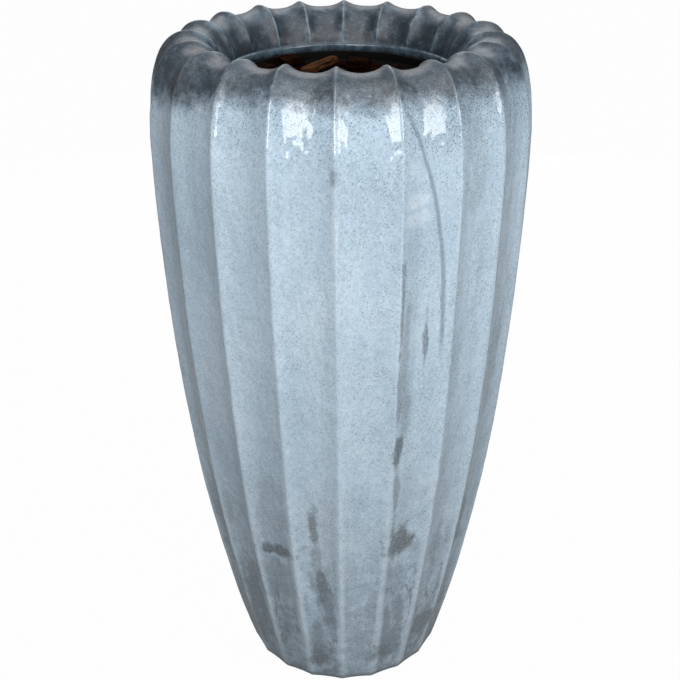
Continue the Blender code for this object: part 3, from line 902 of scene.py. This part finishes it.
def roughen(name, node, grain, seed, halfLength=None):  # copy of a cad slab, worn along its grain
    piece = copyRemeshed(name, node)
    low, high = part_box(node)
    middle = (low + high) / 2
    side = Vector((0, 0, 1)).cross(grain).normalized()
    shift = seed * bark["noiseApart"]
    endAcross, endUp = bark["raggedScale"]
    normals = [vertex.normal.copy() for vertex in piece.data.vertices]
    for vertex, normal in zip(piece.data.vertices, normals):
        offset = vertex.co - middle
        along, across, tall = spot = (offset.dot(grain), offset.dot(side), offset.z)
        furrow = abs(grainNoise(spot, bark["furrowScale"], (shift, 0, 0)))
        fine = grainNoise(spot, bark["fineScale"], (shift, 0, 0))
        flake = grainNoise(spot, bark["flakeScale"], (0, shift, 0))
        worn = bark["furrow"] * (1 - min(furrow * bark["furrowEdge"], 1))
        worn += bark["flake"] * fromZero(flake) * (1 - abs(normal.z))
        torn = fromZero(noise.noise((across * endAcross + shift, tall * endUp, 0)))
        worn += bark["ragged"] * abs(normal.dot(grain)) * torn
        vertex.co -= normal * (worn + bark["fine"] * fromZero(fine))
        if halfLength:  # a split stick narrows unevenly towards its ends
            narrow = bark["taper"] * smoothStep(abs(along) / halfLength, bark["taperFrom"], 1.0)
            narrow += bark["waist"] * noise.noise((along * bark["waistScale"], shift, 0))
            vertex.co -= side * across * narrow
        else:  # a slab loses its corners
            angle = math.atan2(across, along)
            roundX = math.cos(angle) * bark["nibbleScale"] + shift
            roundY = math.sin(angle) * bark["nibbleScale"]
            bite = bark["nibble"] * fromZero(noise.noise((roundX, roundY, bark["nibbleLevel"])))
            vertex.co -= (grain * along + side * across) * bite
    bpy.ops.object.shade_smooth_by_angle(angle=math.radians(bark["smoothAngle"]))
    return piece


def makeBark():
    pieces = []
    chips = sorted(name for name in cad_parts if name.startswith("bark_chip"))
    for number, node in enumerate(chips, start=1):
        low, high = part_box(node)
        middle = (low + high) / 2
        grain = Vector((-middle.y, middle.x, 0)).normalized()
        slab = roughen(f"bark_piece_{number:02d}", node, grain, number)
        pieces.append(settle(slab, "inner_pot", "bark", node))
    return pieces


crumb = {
    "count": 460, "shapes": 14, "seed": 11, "size": (0.008, 0.025),
    "width": (0.3, 0.75), "thickness": (0.16, 0.34), "bevel": 0.06, "jitter": (0.13, 0.11, 0.06),
    "fromEdge": 0.006, "halfLength": 0.6, "lift": (0.0, 0.009), "tilt": 0.35,
}


def crumbShape(source):  # a broken bit, one unit long
    fresh()
    flat = (1.0, source.uniform(*crumb["width"]), source.uniform(*crumb["thickness"]))
    bpy.ops.mesh.primitive_cube_add(size=1, location=(0, 0, 0), scale=flat)
    shape = bpy.context.object
    fixPlace()
    openMesh()
    bpy.ops.mesh.bevel(offset=crumb["bevel"], segments=1, affect="EDGES")
    closeMesh()
    for vertex in shape.data.vertices:
        vertex.co += Vector([source.uniform(-reach, reach) for reach in crumb["jitter"]])
    return shape


def makeCrumbs():  # small broken bits between and on the slabs
    source = random.Random(crumb["seed"])
    bed = soilShape()
    tilt = crumb["tilt"]
    shapes = [crumbShape(source) for _ in range(crumb["shapes"])]
    bits = []
    for _ in range(crumb["count"]):
        bit = addObject("crumb", source.choice(shapes).data.copy())
        size = source.uniform(*crumb["size"])
        part = math.sqrt(source.random())
        radius = (bed.radius - crumb["fromEdge"] - size * crumb["halfLength"]) * part
        angle = source.uniform(0, math.tau)
        level = moundLevel(bed, part) + source.uniform(*crumb["lift"])
        spot = Vector((radius * math.sin(angle), -radius * math.cos(angle), level))
        turned = Euler((source.uniform(-tilt, tilt), source.uniform(-tilt, tilt),
                        source.uniform(0, math.tau)))
        bit.matrix_world = Matrix.LocRotScale(spot, turned, Vector((size, size, size)))
        bits.append(bit)
    for shape in shapes:
        bpy.data.objects.remove(shape)
    take(bits[0])
    for bit in bits:
        bit.select_set(True)
    bpy.ops.object.join()
    fixPlace()
    crumbs = bpy.context.object
    crumbs.name = crumbs.data.name = "bark_crumbs"
    return settle(crumbs, "inner_pot", "bark")


splitStick = {"seed": 40, "halfLength": 0.042, "alongIt": 0.9}


def stickGrain():  # direction of the stick's longest edge
    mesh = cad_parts["bark_stick"].data
    points = cadPoints("bark_stick")
    middle = sum(points, Vector()) / len(points)
    far = (max(points, key=lambda p: (p - middle).length) - middle).normalized()
    edges = [points[a] - points[b] for a, b in (edge.vertices for edge in mesh.edges)]
    lengthwise = [edge for edge in edges if abs(edge.normalized().dot(far)) > splitStick["alongIt"]]
    return max(lengthwise, key=lambda edge: edge.length).normalized()


barkLook = {
    # bark colours darkened nearly to black: partly wet bark, partly painted shade for the dark inside of the
    # mouth
    "bark": {"dark": (0.0008, 0.0003, 0.0002, 1), "middle": (0.0075, 0.0020, 0.0010, 1),
             "light": (0.026, 0.0090, 0.0045, 1), "scale": 260},
    "stick": {"dark": (0.030, 0.012, 0.005, 1), "middle": (0.062, 0.025, 0.011, 1),
              "light": (0.105, 0.048, 0.022, 1), "scale": 330},
    "patch": (26, 3, 0.6), "patchy": (0.38, 0.62), "fibreDetail": 4, "fibreRough": 0.65,
    "layers": (1, 1, 3), "alongGrain": (0.1, 1, 1), "fibres": (0.46, 0.68, 0.75),
    "rough": 0.72, "moreRough": 0.25, "specular": 0.01, "bumpStrength": 0.7, "bumpDepth": 0.0008,
}


def barkFinish(name, kind, along=None):
    g = barkLook
    look = g[kind]
    finish, shader, place = startFinish(name, g["specular"])
    drawn = place.stretch(g["layers"])
    if along is not None:  # fibres run one way on a split stick
        drawn = place.stretch((1, 1, 1), (0, 0, -math.atan2(along.y, along.x))).stretch(g["alongGrain"])
    fibre = drawn.cloud(look["scale"], g["fibreDetail"], g["fibreRough"])
    tone = place.cloud(*g["patch"]).band(*g["patchy"]).pick(look["dark"], look["middle"])
    fibre.band(*g["fibres"]).pick(tone, look["light"]).feed(shader, "Base Color")
    (fibre * g["moreRough"] + g["rough"]).feed(shader, "Roughness")
    fibre.dent(shader, g["bumpStrength"], g["bumpDepth"])
    return finish


barkBrown = barkFinish("pine_bark", "bark")
for slab in makeBark():
    wear(slab, barkBrown)
wear(makeCrumbs(), barkBrown)
stickAlong = stickGrain()
stick = roughen("split_stick", "bark_stick", stickAlong, splitStick["seed"], splitStick["halfLength"])
settle(stick, "inner_pot", "split_wood", "bark_stick")
wear(stick, barkFinish("split_stick_wood", "stick", stickAlong))
print("bark made")


# studio

studio = {
    # azimuth, width, sill, head and brightness of the soft boxes: two tall ones in front, two behind the pot
    "boxes": ((-14, 0.85, 0.70, 3.1, 7.0), (49, 0.78, 0.70, 3.1, 6.6),
              (180, 2.4, 1.80, 3.6, 2.6), (180, 1.5, 0.02, 0.62, 12.0)),
    "distance": 2.3,
    # soft box overhead: azimuth, elevation, distance, side, brightness, and the height that it faces
    "overhead": (15, 72, 2.6, 2.2, 2.2), "overheadAim": 0.5,
    "floorSize": 24, "floorBack": 4, "floorDrop": 0.0005, "floorTone": 0.14, "floorRough": 0.9,
    "ambient": 0.09, "floorGlow": 0.985, "gloss": 0.12,
}


def addLamp(name, size, tall, brightness, place, turn):
    lamp = bpy.data.lights.new(name, "AREA")
    lamp.shape = "RECTANGLE"
    lamp.size = size
    lamp.size_y = tall
    lamp.energy = brightness * math.pi * size * tall
    item = addObject(name, lamp)
    item.location = place
    item.rotation_euler = turn
    item.visible_camera = False


def outward(azimuth, elevation):  # direction from the pot, where azimuth 0 is the front
    level = math.cos(elevation)
    return Vector((math.sin(azimuth) * level, -math.cos(azimuth) * level, math.sin(elevation)))


def makeLights():
    for number, (azimuth, width, sill, head, brightness) in enumerate(studio["boxes"], start=1):
        a = math.radians(azimuth)
        place = outward(a, 0) * studio["distance"] + Vector((0, 0, (sill + head) / 2))
        addLamp(f"soft_box_{number}", width, head - sill, brightness, place, (math.pi / 2, 0, a))
    azimuth, elevation, distance, side, brightness = studio["overhead"]
    a, e = math.radians(azimuth), math.radians(elevation)
    place = outward(a, e) * distance + Vector((0, 0, studio["overheadAim"]))
    addLamp("overhead", side, side, brightness, place, (math.pi / 2 - e, 0, a))


def raysSeen(tree):  # camera rays, and glossy or transmitted ones
    path = tree.nodes.new("ShaderNodeLightPath")
    seen, shiny, through = (Wire(tree, path.outputs[name])
                            for name in ("Is Camera Ray", "Is Glossy Ray", "Is Transmission Ray"))
    return seen, shiny.most(through)


def makeFloor():
    fresh()
    bpy.ops.mesh.primitive_plane_add(size=studio["floorSize"],
                                     location=(0, studio["floorBack"], -studio["floorDrop"]))
    floor = bpy.context.object
    floor.name = "studio_floor"
    finish, shader, place = startFinish("pale_floor")
    tree = finish.node_tree
    tone = studio["floorTone"]
    shader.inputs["Base Color"].default_value = (tone, tone, tone, 1)
    shader.inputs["Roughness"].default_value = studio["floorRough"]
    seen, mirrored = raysSeen(tree)
    glow = place.node("ShaderNodeEmission", None, {"Color": (1, 1, 1, 1), "Strength": 1.0})
    ground = Wire(tree, shader.outputs[0])
    shown = seen * studio["floorGlow"] + mirrored * studio["gloss"]
    mixed = place.node("ShaderNodeMixShader", None, {0: shown, 1: ground, 2: glow})
    clear = place.node("ShaderNodeBsdfTransparent")
    below = place.node("ShaderNodeNewGeometry", None, None, "Backfacing")  # clear from underneath
    oneSided = place.node("ShaderNodeMixShader", None, {0: below, 1: mixed, 2: clear})
    oneSided.feed(tree.nodes["Material Output"], "Surface")
    wear(floor, finish)


def makeWorld():
    world = bpy.data.worlds.new("studio_world")
    bpy.context.scene.world = world
    world.use_nodes = True
    background = world.node_tree.nodes["Background"]
    seen, mirrored = raysSeen(world.node_tree)
    shown = seen + mirrored * studio["gloss"]
    strength = shown * (1 - studio["ambient"]) + studio["ambient"]
    strength.feed(background, "Strength")
    background.inputs["Color"].default_value = (1, 1, 1, 1)


view = {"pitch": 27.45, "azimuth": 1.7, "distance": 1.5412, "aimHeight": 0.4822, "aimSide": -0.0033,
        "sensor": 36, "lensPixels": 1130, "pictureWidth": 680, "offCentre": 16}  # the last three in pixels


def makeCamera():
    camera = bpy.data.cameras.new("camera")
    item = addObject("camera", camera)
    bpy.context.scene.camera = item
    camera.sensor_width = view["sensor"]
    camera.lens = view["sensor"] * view["lensPixels"] / view["pictureWidth"]
    azimuth = math.radians(view["azimuth"])
    back = outward(azimuth, math.radians(view["pitch"]))
    aim = Vector((view["aimSide"], 0, view["aimHeight"]))
    item.location = aim + back * view["distance"]
    side = Vector((math.cos(azimuth), math.sin(azimuth), 0))
    look = side * view["offCentre"] / view["lensPixels"] - back
    item.rotation_euler = look.to_track_quat("-Z", "Y").to_euler()
    camera.shift_x = -view["offCentre"] / view["pictureWidth"]  # the pot stands beside the lens axis


makeFloor()
makeWorld()
makeLights()
makeCamera()
bpy.context.scene.view_settings.view_transform = "Standard"
print("studio ready")
